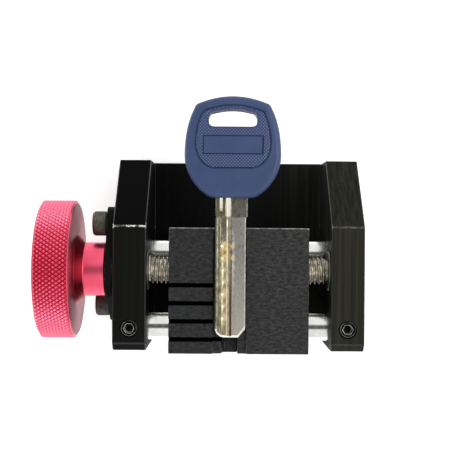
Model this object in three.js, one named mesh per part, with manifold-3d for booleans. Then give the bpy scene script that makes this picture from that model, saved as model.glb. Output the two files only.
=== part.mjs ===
// Self-centring key clamp of a key duplicating machine: a milled U-shaped body, two jaws on two guide
// rods, a left-hand and right-hand lead screw with a knob, and a dimple key lying in the jaws.
// Millimetres, +Z up. The origin is the centre of the body's underside; +X points away from the knob,
// +Y points to the rear, where the head of the key hangs over.

import * as THREE from 'three';
import { mergeVertices } from 'three/addons/utils/BufferGeometryUtils.js';
import Module from 'manifold-3d';

const wasm = await Module();
wasm.setup();

// ---- driving dimensions ----

const GAP = 0.3; // clearance between neighbouring pieces
const REACH = 100; // length of a cutter that has to pass right through

const BODY = { halfWidth: 35, front: -27.1, rear: 27.1, height: 44, floor: 9, innerHalf: 25.7 };
const SLOPE_START = 7.6; // where the 45 degree rear slope of the cheeks leaves their top
const FRONT_CHAMFER = 2.1;

const ROD = { radius: 4, halfLength: 34, edge: 0.5 };
const FRONT_ROD = { y: -20.85, z: 34.2 };
const REAR_ROD = { y: -0.35, z: 22.5 };
const SET_SCREW = { radius: 2.4, length: 4.8, hexAcross: 2.5, hexDepth: 2.2, x: 30.4 };
const SET_SCREW_RECESS = 0.4; // how far a set screw's end sits below the face around it
const TAPPED_HOLE = { radius: 2.5, depth: 6, x: 15, y: 18 };

const SPINDLE = { y: -4.85, z: 34 };
const SCREW = { radius: 4, threadHalf: 25, reliefRadius: 3.1, reliefHalf: 1.6 };
const JOURNAL = { radius: 3, end: 32 };
const STUB = { radius: 3, end: -50 };
const BUSH = { radius: 5.7, leftEnd: -30.4, rightEnd: 32.4, proud: 0.4 };
const CHAMBER = { radius: 7, depth: 4.3 };
const WASHER = { radius: 6.7, thickness: 0.8 };
const COLLAR = { radius: 6.4, left: -33.6, right: -32.1 };

const KNOB = { radius: 19.6, left: -55.9, right: -45.85, edge: 0.6, bore: 3.3, boreEnd: -50.5 };
const HUB = { radius: 7.65, coneRadius: 10, coneEnd: -43.6, right: -37.5 };
const KNOB_SCREW = { x: -40.6, radius: 1.9, inner: 3.4, outer: 7.2, hexAcross: 2, hexDepth: 1.8 };

const FLANGE = { left: -37.2, right: -35.3, bore: 4.4, bossRadius: 9.5, earRadius: 4.8 };
const FLANGE_EARS = [
  { name: 'flange_screw_upper', y: 8.2, z: 34.2 },
  { name: 'flange_screw_lower', y: -15.3, z: 26 },
];
const CAP_SCREW = { headRadius: 3.5, headLength: 4, edge: 0.4, shankRadius: 1.9, end: -28.6 };
const CAP_SOCKET = { hexAcross: 3, hexDepth: 2 };

const JAW = { front: -27.75, rear: 7.2, bottom: 14, top: 44, outerLeft: -19.4, outerRight: 19.5 };
const PARTING = -0.25; // where the jaws meet
const LEDGE_TOP = 43; // what the flat of the key rests on
const LEFT_WALL = -7.05;
const RIGHT_WALL = 2.15;
const TONGUE = { top: 39.4, slopeTop: -4.9, slopeBottom: -3.9 };
const STOP_GROOVE = { width: 1.25, depth: 2.5, first: 4, pitch: 5, count: 4 };

const BLADE = { left: -6.5, right: 1.85, tip: -23, shoulder: 10, bottom: 43.3, top: 45.5 };
const BLADE_TIP = { round: 2.6, bevelX: 1.9, bevelY: 2.3 };
const BLADE_COLLAR = { extraRight: 0.5, extraThickness: 0.35 };
const BLADE_GROOVE = { x: -2.35, width: 0.8, depth: 0.6 };
const TANG = { halfWidth: 3.2, length: 12 };
const HEAD = { centre: -1.83, bottom: 15.45, top: 43.35, thickness: 8, radius: 13.25, radiusCentre: 27.3 };
const HEAD_NECK = 6.3; // half the width of the head's flat lower edge
const HEAD_CORNER = { sideX: 10.6, sideY: 40.1, topX: 9.4, topY: 41.4, softness: 0.3 };
const SIDE_PULL = 35; // how far up the sides of the head and its panel keep their width
const PANEL = { depth: 0.45, bottom: 23.3, waist: 30, top: 41, halfWidth: 10.6, neck: 5.3 };
const PANEL_CORNER = { x: 8.5, y: 39.2, lowerX: 10, lowerY: 24.2 };
const RING_HOLE = { halfWidth: 6.68, round: 1.6, bottom: 34.95, middle: 36.7, shoulder: 38.2 };
const RING_HOLE_TOP = { rim: 38.7, crown: 39.75 };

const SEGMENTS = 36;

// ---- solids: everything is joined and cut as a manifold, then turned into a mesh ----

function solid(geometry) {
  const plain = geometry.clone();
  plain.deleteAttribute('normal');
  plain.deleteAttribute('uv');
  const merged = mergeVertices(plain, 1e-4);
  const vertProperties = new Float32Array(merged.attributes.position.array);
  const triVerts = new Uint32Array(merged.index.array);
  return new wasm.Manifold(new wasm.Mesh({ numProp: 3, vertProperties, triVerts }));
}

function box(x0, x1, y0, y1, z0, z1) {
  const geometry = new THREE.BoxGeometry(x1 - x0, y1 - y0, z1 - z0);
  return solid(geometry.translate((x0 + x1) / 2, (y0 + y1) / 2, (z0 + z1) / 2));
}

// A cylinder along X from x0 to x1.
function rodX(radius, x0, x1, centre, segments = SEGMENTS) {
  const geometry = new THREE.CylinderGeometry(radius, radius, x1 - x0, segments);
  geometry.rotateZ(-Math.PI / 2);
  return solid(geometry.translate((x0 + x1) / 2, centre.y, centre.z));
}

// A cylinder along Z from z0 to z1.
function rodZ(radius, x, y, z0, z1, segments = SEGMENTS) {
  const geometry = new THREE.CylinderGeometry(radius, radius, z1 - z0, segments);
  geometry.rotateX(Math.PI / 2);
  return solid(geometry.translate(x, y, (z0 + z1) / 2));
}

function hexRadius(across) {
  return across / Math.sqrt(3);
}

// A body turned about the X axis, from [x, radius] pairs that start and end on the axis.
function turnedX(profile, centre, segments = SEGMENTS) {
  const points = profile.map(([x, radius]) => new THREE.Vector2(radius, x));
  const geometry = new THREE.LatheGeometry(points, segments);
  geometry.rotateZ(-Math.PI / 2);
  return solid(geometry.translate(0, centre.y, centre.z));
}

function ringX(outer, inner, x0, x1, centre) {
  return rodX(outer, x0, x1, centre).subtract(rodX(inner, x0 - 1, x1 + 1, centre));
}

// A shape drawn in X and Y, made solid from z0 to z1.
function plateZ(shape, z0, z1) {
  const options = { depth: z1 - z0, bevelEnabled: false, curveSegments: 16 };
  return solid(new THREE.ExtrudeGeometry(shape, options).translate(0, 0, z0));
}

// A shape drawn in Y and Z, made solid from x0 to x1.
function plateX(shape, x0, x1) {
  const options = { depth: x1 - x0, bevelEnabled: false, curveSegments: 12 };
  const geometry = new THREE.ExtrudeGeometry(shape, options);
  geometry.rotateY(Math.PI / 2);
  geometry.rotateX(Math.PI / 2);
  return solid(geometry.translate(x0, 0, 0));
}

// A shape drawn in X and Z, made solid from y0 to y1.
function plateY(shape, y0, y1) {
  const options = { depth: y1 - y0, bevelEnabled: false };
  const geometry = new THREE.ExtrudeGeometry(shape, options);
  geometry.rotateX(Math.PI / 2);
  return solid(geometry.translate(0, y1, 0));
}

function polygon(points) {
  return new THREE.Shape(points.map(([a, b]) => new THREE.Vector2(a, b)));
}

// ---- the body ----

function frameBody() {
  const side = polygon([
    [BODY.front, 0],
    [BODY.rear, 0],
    [BODY.rear, BODY.height - (BODY.rear - SLOPE_START)],
    [SLOPE_START, BODY.height],
    [BODY.front + FRONT_CHAMFER, BODY.height],
    [BODY.front, BODY.height - FRONT_CHAMFER],
  ]);
  let body = plateX(side, -BODY.halfWidth, BODY.halfWidth);
  const channel = box(-BODY.innerHalf, BODY.innerHalf, -REACH, REACH, BODY.floor, REACH);
  body = body.subtract(channel);
  for (const rod of [FRONT_ROD, REAR_ROD]) {
    body = body.subtract(rodX(ROD.radius + GAP, -REACH, REACH, rod));
  }
  const screwHole = SET_SCREW.radius + GAP;
  for (const x of [-SET_SCREW.x, SET_SCREW.x]) {
    body = body.subtract(rodZ(screwHole, x, FRONT_ROD.y, FRONT_ROD.z, REACH, 32));
    body = body.subtract(rodZ(screwHole, x, REAR_ROD.y, -REACH, REAR_ROD.z, 32));
  }
  body = body.subtract(rodX(BUSH.radius + GAP, -REACH, 0, SPINDLE));
  body = body.subtract(rodX(CHAMBER.radius, -REACH, -BODY.halfWidth + CHAMBER.depth, SPINDLE));
  body = body.subtract(rodX(BUSH.radius + GAP, 0, BUSH.rightEnd + GAP, SPINDLE));
  for (const ear of FLANGE_EARS) {
    body = body.subtract(rodX(CAP_SCREW.shankRadius + GAP, -REACH, CAP_SCREW.end + GAP, ear, 32));
  }
  for (const x of [-TAPPED_HOLE.x, TAPPED_HOLE.x]) {
    for (const y of [-TAPPED_HOLE.y, TAPPED_HOLE.y]) {
      body = body.subtract(rodZ(TAPPED_HOLE.radius, x, y, -1, TAPPED_HOLE.depth, 24));
    }
  }
  return body;
}

function guideRod(place) {
  const edge = ROD.edge;
  return turnedX([
    [-ROD.halfLength, 0],
    [-ROD.halfLength, ROD.radius - edge],
    [-ROD.halfLength + edge, ROD.radius],
    [ROD.halfLength - edge, ROD.radius],
    [ROD.halfLength, ROD.radius - edge],
    [ROD.halfLength, 0],
  ], place);
}

// A headless screw along Z whose hexagon socket opens at socketEnd.
function setScrew(x, y, z0, z1, socketUp) {
  const screw = rodZ(SET_SCREW.radius, x, y, z0, z1, 32);
  const from = socketUp ? z1 - SET_SCREW.hexDepth : z0 - 1;
  const to = socketUp ? z1 + 1 : z0 + SET_SCREW.hexDepth;
  return screw.subtract(rodZ(hexRadius(SET_SCREW.hexAcross), x, y, from, to, 6));
}

function frontSetScrew(x) {
  const top = BODY.height - SET_SCREW_RECESS;
  return setScrew(x, FRONT_ROD.y, top - SET_SCREW.length, top, true);
}

function rearSetScrew(x) {
  const tip = REAR_ROD.z - ROD.radius - GAP;
  return setScrew(x, REAR_ROD.y, tip - SET_SCREW.length, tip, false);
}

// ---- the spindle's bearings ----

function leftBush() {
  return ringX(BUSH.radius, SCREW.radius + GAP, BUSH.leftEnd, -BODY.innerHalf + BUSH.proud, SPINDLE);
}

function rightBush() {
  return ringX(BUSH.radius, JOURNAL.radius + GAP, BODY.innerHalf - BUSH.proud, BUSH.rightEnd, SPINDLE);
}

function thrustWasher(left) {
  return ringX(WASHER.radius, SCREW.radius + GAP, left, left + WASHER.thickness, SPINDLE);
}

// A rounded plate around the spindle with an ear for each of its two screws.
function retainerFlange() {
  const thick = [FLANGE.left, FLANGE.right];
  const boss = rodX(FLANGE.bossRadius, ...thick, SPINDLE);
  let plate = boss;
  for (const ear of FLANGE_EARS) {
    const end = rodX(FLANGE.earRadius, ...thick, ear);
    plate = plate.add(wasm.Manifold.hull([boss, end]));
  }
  plate = plate.subtract(rodX(FLANGE.bore, -REACH, 0, SPINDLE));
  for (const ear of FLANGE_EARS) {
    plate = plate.subtract(rodX(CAP_SCREW.shankRadius + GAP, -REACH, 0, ear, 32));
  }
  return plate;
}

function flangeScrew(ear) {
  const headRight = FLANGE.left - GAP;
  const headLeft = headRight - CAP_SCREW.headLength;
  const screw = turnedX([
    [headLeft, 0],
    [headLeft, CAP_SCREW.headRadius - CAP_SCREW.edge],
    [headLeft + CAP_SCREW.edge, CAP_SCREW.headRadius],
    [headRight, CAP_SCREW.headRadius],
    [headRight, CAP_SCREW.shankRadius],
    [CAP_SCREW.end, CAP_SCREW.shankRadius],
    [CAP_SCREW.end, 0],
  ], ear, 32);
  const across = hexRadius(CAP_SOCKET.hexAcross);
  return screw.subtract(rodX(across, headLeft - 1, headLeft + CAP_SOCKET.hexDepth, ear, 6));
}

// ---- the spindle ----

function leadScrew() {
  return turnedX([
    [STUB.end, 0],
    [STUB.end, STUB.radius],
    [HUB.right, STUB.radius],
    [HUB.right, SCREW.radius],
    [COLLAR.left, SCREW.radius],
    [COLLAR.left, COLLAR.radius],
    [COLLAR.right, COLLAR.radius],
    [COLLAR.right, SCREW.radius],
    [-SCREW.reliefHalf, SCREW.radius],
    [-SCREW.reliefHalf, SCREW.reliefRadius],
    [SCREW.reliefHalf, SCREW.reliefRadius],
    [SCREW.reliefHalf, SCREW.radius],
    [SCREW.threadHalf, SCREW.radius],
    [SCREW.threadHalf, JOURNAL.radius],
    [JOURNAL.end, JOURNAL.radius],
    [JOURNAL.end, 0],
  ], SPINDLE);
}

function knob() {
  const turned = turnedX([
    [KNOB.left, 0],
    [KNOB.left, KNOB.radius - KNOB.edge],
    [KNOB.left + KNOB.edge, KNOB.radius],
    [KNOB.right - KNOB.edge, KNOB.radius],
    [KNOB.right, KNOB.radius - KNOB.edge],
    [KNOB.right, HUB.coneRadius],
    [HUB.coneEnd, HUB.radius],
    [HUB.right, HUB.radius],
    [HUB.right, KNOB.bore],
    [KNOB.boreEnd, KNOB.bore],
    [KNOB.boreEnd, 0],
  ], SPINDLE, 72);
  const below = SPINDLE.z - 2 * HUB.radius;
  const hole = rodZ(KNOB_SCREW.radius + GAP, KNOB_SCREW.x, SPINDLE.y, below, SPINDLE.z, 24);
  return turned.subtract(hole);
}

function knobSetScrew() {
  const [low, high] = [SPINDLE.z - KNOB_SCREW.outer, SPINDLE.z - KNOB_SCREW.inner];
  const screw = rodZ(KNOB_SCREW.radius, KNOB_SCREW.x, SPINDLE.y, low, high, 24);
  const across = hexRadius(KNOB_SCREW.hexAcross);
  return screw.subtract(rodZ(across, KNOB_SCREW.x, SPINDLE.y, low - 1, low + KNOB_SCREW.hexDepth, 6));
}

// ---- the jaws ----

function jawBlank(x0, x1) {
  let jaw = box(x0, x1, JAW.front, JAW.rear, JAW.bottom, JAW.top);
  for (const rod of [FRONT_ROD, REAR_ROD]) {
    jaw = jaw.subtract(rodX(ROD.radius + GAP, -REACH, REACH, rod));
  }
  return jaw.subtract(rodX(SCREW.radius + GAP, -REACH, REACH, SPINDLE));
}

function leftJaw() {
  const face = PARTING - GAP / 2;
  const recess = polygon([
    [LEFT_WALL, JAW.top + 1],
    [LEFT_WALL, LEDGE_TOP],
    [TONGUE.slopeTop, LEDGE_TOP],
    [TONGUE.slopeBottom, TONGUE.top],
    [1, TONGUE.top],
    [1, JAW.top + 1],
  ]);
  let jaw = jawBlank(JAW.outerLeft, face).subtract(plateY(recess, -REACH, REACH));
  for (let i = 0; i < STOP_GROOVE.count; i += 1) {
    const y = JAW.front + STOP_GROOVE.first + i * STOP_GROOVE.pitch;
    const end = i === 0 ? TONGUE.slopeBottom : LEFT_WALL + GAP;
    const half = STOP_GROOVE.width / 2;
    jaw = jaw.subtract(box(-REACH, end, y - half, y + half, JAW.top - STOP_GROOVE.depth, REACH));
  }
  return jaw;
}

function rightJaw() {
  const face = PARTING + GAP / 2;
  const recess = box(face - 1, RIGHT_WALL, -REACH, REACH, LEDGE_TOP, REACH);
  return jawBlank(face, JAW.outerRight).subtract(recess);
}

// ---- the key ----

function bladeShape() {
  const shape = new THREE.Shape();
  shape.moveTo(BLADE.left, BLADE.shoulder);
  shape.lineTo(BLADE.left, BLADE.tip + BLADE_TIP.round);
  const centreX = BLADE.left + BLADE_TIP.round;
  shape.absarc(centreX, BLADE.tip + BLADE_TIP.round, BLADE_TIP.round, Math.PI, 1.5 * Math.PI, false);
  shape.lineTo(BLADE.right - BLADE_TIP.bevelX, BLADE.tip);
  shape.lineTo(BLADE.right, BLADE.tip + BLADE_TIP.bevelY);
  shape.lineTo(BLADE.right, BLADE.shoulder);
  return shape;
}

function tang(clearance) {
  const half = TANG.halfWidth + clearance;
  const y1 = HEAD.bottom + TANG.length + clearance;
  const z0 = BLADE.bottom - clearance;
  return box(HEAD.centre - half, HEAD.centre + half, BLADE.shoulder, y1, z0, BLADE.top + clearance);
}

function keyBlade() {
  const thicker = BLADE_COLLAR.extraThickness;
  const [z0, z1] = [BLADE.bottom - thicker, BLADE.top + thicker];
  const collarRight = BLADE.right + BLADE_COLLAR.extraRight;
  const collar = box(BLADE.left, collarRight, BLADE.shoulder, HEAD.bottom - GAP, z0, z1);
  const blade = plateZ(bladeShape(), BLADE.bottom, BLADE.top).add(collar).add(tang(0));
  const half = BLADE_GROOVE.width / 2;
  const floor = BLADE.top - BLADE_GROOVE.depth;
  const groove = box(BLADE_GROOVE.x - half, BLADE_GROOVE.x + half, -REACH, BLADE.shoulder, floor, REACH);
  return blade.subtract(groove);
}

// The outline of the head: a round lower part, bulging sides and a slightly arched top.
function headShape() {
  const c = HEAD.centre;
  const corner = HEAD_CORNER;
  const neckAngle = Math.asin((HEAD.radiusCentre - HEAD.bottom) / HEAD.radius);
  const crown = 2 * HEAD.top - corner.topY;
  const roundX = corner.sideX - corner.softness;
  const roundY = corner.topY - corner.softness;
  const shape = new THREE.Shape();
  shape.moveTo(c + HEAD_NECK, HEAD.bottom);
  shape.absarc(c, HEAD.radiusCentre, HEAD.radius, 2 * Math.PI - neckAngle, 2 * Math.PI, false);
  shape.quadraticCurveTo(c + HEAD.radius, SIDE_PULL, c + corner.sideX, corner.sideY);
  shape.quadraticCurveTo(c + roundX, roundY, c + corner.topX, corner.topY);
  shape.quadraticCurveTo(c, crown, c - corner.topX, corner.topY);
  shape.quadraticCurveTo(c - roundX, roundY, c - corner.sideX, corner.sideY);
  shape.quadraticCurveTo(c - HEAD.radius, SIDE_PULL, c - HEAD.radius, HEAD.radiusCentre);
  shape.absarc(c, HEAD.radiusCentre, HEAD.radius, Math.PI, Math.PI + neckAngle, false);
  return shape;
}

// The sunk panel follows the head's outline, with a wider margin below.
function panelShape() {
  const c = HEAD.centre;
  const { bottom, waist, top, halfWidth, neck } = PANEL;
  const corner = PANEL_CORNER;
  const shape = new THREE.Shape();
  shape.moveTo(c - neck, bottom);
  shape.lineTo(c + neck, bottom);
  shape.quadraticCurveTo(c + corner.lowerX, corner.lowerY, c + halfWidth, waist);
  shape.quadraticCurveTo(c + halfWidth, SIDE_PULL, c + corner.x, corner.y);
  shape.quadraticCurveTo(c, 2 * top - corner.y, c - corner.x, corner.y);
  shape.quadraticCurveTo(c - halfWidth, SIDE_PULL, c - halfWidth, waist);
  shape.quadraticCurveTo(c - corner.lowerX, corner.lowerY, c - neck, bottom);
  return shape;
}

function ringHoleShape() {
  const c = HEAD.centre;
  const { halfWidth, round, bottom, middle, shoulder } = RING_HOLE;
  const { rim, crown } = RING_HOLE_TOP;
  const flat = halfWidth - round;
  const shape = new THREE.Shape();
  shape.moveTo(c - flat, bottom);
  shape.lineTo(c + flat, bottom);
  shape.quadraticCurveTo(c + halfWidth, bottom, c + halfWidth, middle);
  shape.quadraticCurveTo(c + halfWidth, shoulder, c + flat, rim);
  shape.quadraticCurveTo(c, 2 * crown - rim, c - flat, rim);
  shape.quadraticCurveTo(c - halfWidth, shoulder, c - halfWidth, middle);
  shape.quadraticCurveTo(c - halfWidth, bottom, c - flat, bottom);
  return shape;
}

function keyHead() {
  const middle = (BLADE.bottom + BLADE.top) / 2;
  const [z0, z1] = [middle - HEAD.thickness / 2, middle + HEAD.thickness / 2];
  let head = plateZ(headShape(), z0, z1);
  head = head.subtract(plateZ(panelShape(), z1 - PANEL.depth, REACH));
  head = head.subtract(plateZ(panelShape(), -REACH, z0 + PANEL.depth));
  head = head.subtract(plateZ(ringHoleShape(), -REACH, REACH));
  return head.subtract(tang(GAP));
}

// ---- the assembly ----

const FINISH = {
  blackSteel: { color: 0x1c1c1c, roughness: 0.5, metalness: 0.6 },
  jawSteel: { color: 0x2e2e2f, roughness: 0.55, metalness: 0.6 },
  polishedSteel: { color: 0xd8d8d6, roughness: 0.15, metalness: 1 },
  screwSteel: { color: 0x4c4d47, roughness: 0.4, metalness: 0.8 },
  threadSteel: { color: 0xa89f8c, roughness: 0.35, metalness: 0.9 },
  bronze: { color: 0x9c7b46, roughness: 0.4, metalness: 0.9 },
  redAnodised: { color: 0xdc3c62, roughness: 0.35, metalness: 0.6 },
  keyNickel: { color: 0xb8b09c, roughness: 0.3, metalness: 0.9 },
  keyPlastic: { color: 0x3a4b87, roughness: 0.6, metalness: 0 },
};

const assembly = new THREE.Group();

function piece(name, shape, finish) {
  const mesh = shape.getMesh();
  const geometry = new THREE.BufferGeometry();
  geometry.setAttribute('position', new THREE.BufferAttribute(mesh.vertProperties, 3));
  geometry.setIndex(new THREE.BufferAttribute(mesh.triVerts, 1));
  geometry.computeVertexNormals();
  const object = new THREE.Mesh(geometry, new THREE.MeshStandardMaterial(FINISH[finish]));
  object.name = name;
  assembly.add(object);
}

piece('frame_body', frameBody(), 'blackSteel');
piece('front_guide_rod', guideRod(FRONT_ROD), 'polishedSteel');
piece('rear_guide_rod', guideRod(REAR_ROD), 'polishedSteel');
for (const [side, x] of [['left', -SET_SCREW.x], ['right', SET_SCREW.x]]) {
  piece(`front_rod_set_screw_${side}`, frontSetScrew(x), 'screwSteel');
  piece(`rear_rod_set_screw_${side}`, rearSetScrew(x), 'screwSteel');
}
piece('left_bush', leftBush(), 'bronze');
piece('right_bush', rightBush(), 'bronze');
piece('thrust_washer_inner', thrustWasher(COLLAR.right + GAP), 'bronze');
piece('thrust_washer_outer', thrustWasher(COLLAR.left - GAP - WASHER.thickness), 'bronze');
piece('retainer_flange', retainerFlange(), 'blackSteel');
for (const ear of FLANGE_EARS) {
  piece(ear.name, flangeScrew(ear), 'screwSteel');
}
piece('lead_screw', leadScrew(), 'threadSteel');
piece('knob', knob(), 'redAnodised');
piece('knob_set_screw', knobSetScrew(), 'screwSteel');
piece('left_jaw', leftJaw(), 'jawSteel');
piece('right_jaw', rightJaw(), 'jawSteel');
piece('key_blade', keyBlade(), 'keyNickel');
piece('key_head', keyHead(), 'keyPlastic');

export default assembly;
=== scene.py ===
import math

import bmesh
import bpy
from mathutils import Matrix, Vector


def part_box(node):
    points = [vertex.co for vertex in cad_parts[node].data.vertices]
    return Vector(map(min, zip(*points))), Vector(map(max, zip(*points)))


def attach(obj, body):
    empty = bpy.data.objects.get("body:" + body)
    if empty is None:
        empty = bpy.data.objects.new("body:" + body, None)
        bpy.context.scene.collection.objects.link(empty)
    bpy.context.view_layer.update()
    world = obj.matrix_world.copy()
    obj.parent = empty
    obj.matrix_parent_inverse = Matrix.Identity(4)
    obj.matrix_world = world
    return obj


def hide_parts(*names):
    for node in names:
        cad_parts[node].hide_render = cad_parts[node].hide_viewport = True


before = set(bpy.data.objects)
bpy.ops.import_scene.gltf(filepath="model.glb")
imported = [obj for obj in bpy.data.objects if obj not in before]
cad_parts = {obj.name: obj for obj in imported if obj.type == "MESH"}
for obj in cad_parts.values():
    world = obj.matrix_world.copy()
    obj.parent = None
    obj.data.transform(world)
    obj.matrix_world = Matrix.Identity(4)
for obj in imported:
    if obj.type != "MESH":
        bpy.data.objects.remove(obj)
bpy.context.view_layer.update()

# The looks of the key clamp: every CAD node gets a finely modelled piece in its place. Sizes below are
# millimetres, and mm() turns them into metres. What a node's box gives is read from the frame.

MM = 0.001

# ---- sizes that the boxes of the nodes don't give ----

CHEEK_INNER = 25.7
FLOOR_TOP = 9.0
SLOPE_START = 7.6
FRONT_CHAMFER = 2.1
TAPPED_HOLE = {"radius": 2.5, "depth": 6, "x": 15, "y": 18}
BORE_ROOM = 0.15
PAST = 5.0  # how far a cutter runs past the face it cuts

SCREW = {"radius": 4.0, "journal": 3.0, "thread_half": 25.0, "edge": 0.3, "collar_room": 0.3}
RELIEF = {"radius": 3.1, "half": 1.6}  # the plain neck between the two hands of the thread
LEAD_THREAD = {"pitch": 1.25, "depth": 0.75, "crest": 0.12, "flank": 0.72}
METRIC_THREAD = {"pitch": 0.8, "depth": 0.42, "crest": 0.1, "flank": 0.75}

LEDGE_TOP = 43.0
PARTING = -0.25
PARTING_GAP = 0.03
LEFT_WALL = -7.05
RIGHT_WALL = 2.15
TONGUE = {"top": 39.4, "slope_top": -4.9, "slope_bottom": -3.9}
STOP_GROOVE = {"width": 1.25, "depth": 2.5, "first": 4.0, "pitch": 5.0, "count": 4}

KNURL = {"around": 98, "rows": 10, "depth": 0.5, "flat": 0.17, "wall": 0.4, "tip": 0.28}
KNOB = {"edge": 0.6, "dish": 1.2, "bore": 3.3, "bore_end": -50.5}
# Rings of the knob: the dish's wall, by depth, and the shoulder beside the knurl, by distance from it.
# The second number is the distance in from the knurl's crest.
DISH_WALL = [(1.2, 5.4), (0.8, 4.7), (0.15, 4.4), (0, 4.2)]
SHOULDER = [(0.6, 1.0), (0.05, 0.35), (0, 0.45)]
HUB = {"radius": 7.65, "cone_radius": 10.0, "cone_end": -43.6, "edge": 0.35}
FACE_RIGHT = -45.85

GUIDE_RODS = ("front_guide_rod", "rear_guide_rod")
ROD_EDGE = 0.5
FLANGE_SCREWS = ("flange_screw_upper", "flange_screw_lower")
FLANGE = {"boss": 9.5, "bore": 4.4, "ear": 4.8}
CAP_HEAD = {"length": 4.0, "shank": 1.9, "flutes": 40, "flute_depth": 0.14, "hex": 3.0, "hex_depth": 2.0}
CAP_CROWN = [(0, 0.55), (0.12, 0.3), (0.42, 0.14)]  # depth below the top, distance in from the side
SET_HEX = {"across": 2.5, "depth": 2.2}
KNOB_SCREW_HEX = {"across": 2.0, "depth": 1.8}

BLADE = {"left": -6.5, "right": 1.85, "tip": -23.0, "shoulder": 10.0, "bottom": 43.3, "top": 45.5}
BLADE_TIP = {"round": 2.6, "bevel_x": 1.9, "bevel_y": 2.3, "chamfer": 0.6}
COLLAR = {"extra_right": 0.5, "extra_height": 0.35, "run_out_rise": 0.19}
TANG = {"half_width": 3.2, "length": 12.0}
# Flutes along the blade, each a shallow round hollow: middle X, half width, depth.
FLUTES = [(-5.75, 0.34, 0.14), (-5.0, 0.26, 0.12), (-3.0, 0.5, 0.2), (-2.25, 0.32, 0.36)]
RUN_OUTS = [(-4.95, 0.34), (-2.97, 0.62)]
DIMPLE_ROW = {"left_x": -4.05, "right_x": -1.95, "first_y": 2.2, "pitch": 3.3}
LEFT_CUTS = (4, 3, 1, 1, 3, 1, 2)
RIGHT_CUTS = (2, 2)
DIMPLE = {"radius": 0.42, "radius_step": 0.19, "depth": 0.12, "depth_step": 0.1}
TRACK = {"half_width": 0.3, "depth": 0.12}
# Where the plating's colour changes across the blade, where the worn spot is, and where the painted shadow
# beside the deep flute lies.
PLATING = {"band": -3.5, "track": (-4.8, -3.5), "worn": -3.7, "flute_shade": (-2.6, -1.9), "split": -2.2}

HEAD = {"centre": -1.83, "bottom": 15.45, "top": 43.35, "thickness": 8.0, "radius": 13.25, "middle": 27.3}
HEAD_CORNER = {"side": (10.6, 40.1), "pull": (10.3, 41.1), "top": (9.4, 41.4)}
HEAD_NECK = {"flat": 4.6, "pull": 6.2, "turn": 8}
SIDE_PULL = 35.0
PANEL = {"depth": 0.45, "bottom": 23.3, "waist": 30.0, "top": 41.0, "half_width": 10.6, "neck": 5.3}
PANEL_CORNER = {"upper": (8.5, 39.2), "lower": (10.0, 24.2)}
PANEL_LINE = {"width": 0.42, "depth": 0.26}
RING_HOLE = {"half_width": 6.68, "flat": 5.08, "bottom": 34.95, "middle": 36.7}
RING_HOLE_TOP = {"shoulder": 38.9, "rim": 39.05, "crown": 39.75}
PLATE = {"half_width": 8.0, "bottom": 27.6, "top": 32.3, "line": 0.25}
HATCH = {"pitch": 0.64, "height": 0.3, "reach": 15.0, "margin": 0.05}

CAMERA = {"x": -3.87, "y": 8.0, "above": 290, "roll": 0.4, "lens": 83.8}
KEY_LIGHT = {"place": (330, 60, 600), "side": 320, "radiance": 4.0}
# The tent's brightness, and its dark opening overhead, in degrees from straight up.
TENT = {"bright": 1.15, "dark": 0.12, "opening": 11, "rim": 24}
FLOOR = {"reach": 8000, "drop": 0.05, "glow": 0.42}


def mm(*values):
    scaled = [v * MM for v in values]
    return scaled[0] if len(scaled) == 1 else Vector(scaled)


def box_mm(node):
    low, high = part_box(node)
    return low / MM, high / MM


def axis_of(node):
    """Y and Z of the middle of a node that lies along X."""
    low, high = box_mm(node)
    return (low.y + high.y) / 2, (low.z + high.z) / 2


def radius_of(node):
    """Radius of a round node that lies along X."""
    low, high = box_mm(node)
    return (high.z - low.z) / 2


def upright(node):
    """X, Y and radius of a screw that stands along Z."""
    low, high = box_mm(node)
    return (low.x + high.x) / 2, (low.y + high.y) / 2, (high.x - low.x) / 2


# ---- mesh helpers ----


def piece_of(name, work):
    """A piece in the scene from a closed bmesh, which is used up."""
    bmesh.ops.recalc_face_normals(work, faces=work.faces)
    mesh = bpy.data.meshes.new(name)
    work.to_mesh(mesh)
    work.free()
    piece = bpy.data.objects.new(name, mesh)
    bpy.context.scene.collection.objects.link(piece)
    return piece


def piece_from(name, vertices, faces):
    draft = bpy.data.meshes.new("draft")
    draft.from_pydata([mm(*v) for v in vertices], [], faces)
    work = bmesh.new()
    work.from_mesh(draft)
    bpy.data.meshes.remove(draft)
    bmesh.ops.remove_doubles(work, verts=work.verts, dist=mm(0.0005))
    return piece_of(name, work)


def paint(piece, *materials):
    for material in materials:
        piece.data.materials.append(material)
    return piece


def in_slot(piece, slot, *materials):
    """Paint a piece with one slot of its materials; what it cuts takes the same slot."""
    paint(piece, *materials)
    for polygon in piece.data.polygons:
        polygon.material_index = slot
    return piece


def apply_modifiers(piece):
    depsgraph = bpy.context.evaluated_depsgraph_get()
    mesh = bpy.data.meshes.new_from_object(piece.evaluated_get(depsgraph))
    old = piece.data
    piece.modifiers.clear()
    piece.data = mesh
    bpy.data.meshes.remove(old)
    mesh.name = piece.name


def combine(piece, others, operation="DIFFERENCE"):
    """Cuts the others out of a piece, joins them to it or keeps what they share, and removes them."""
    for other in others:
        modifier = piece.modifiers.new("combine", "BOOLEAN")
        modifier.operation = operation
        modifier.solver = "EXACT"
        modifier.object = other
        apply_modifiers(piece)
        bpy.data.objects.remove(other)
    return piece


def join_meshes(piece, others):
    """Adds the closed bodies of the others to a piece's own mesh, and removes them."""
    work = bmesh.new()
    work.from_mesh(piece.data)
    for other in others:
        work.from_mesh(other.data)
        bpy.data.objects.remove(other)
    work.to_mesh(piece.data)
    work.free()
    return piece


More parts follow.
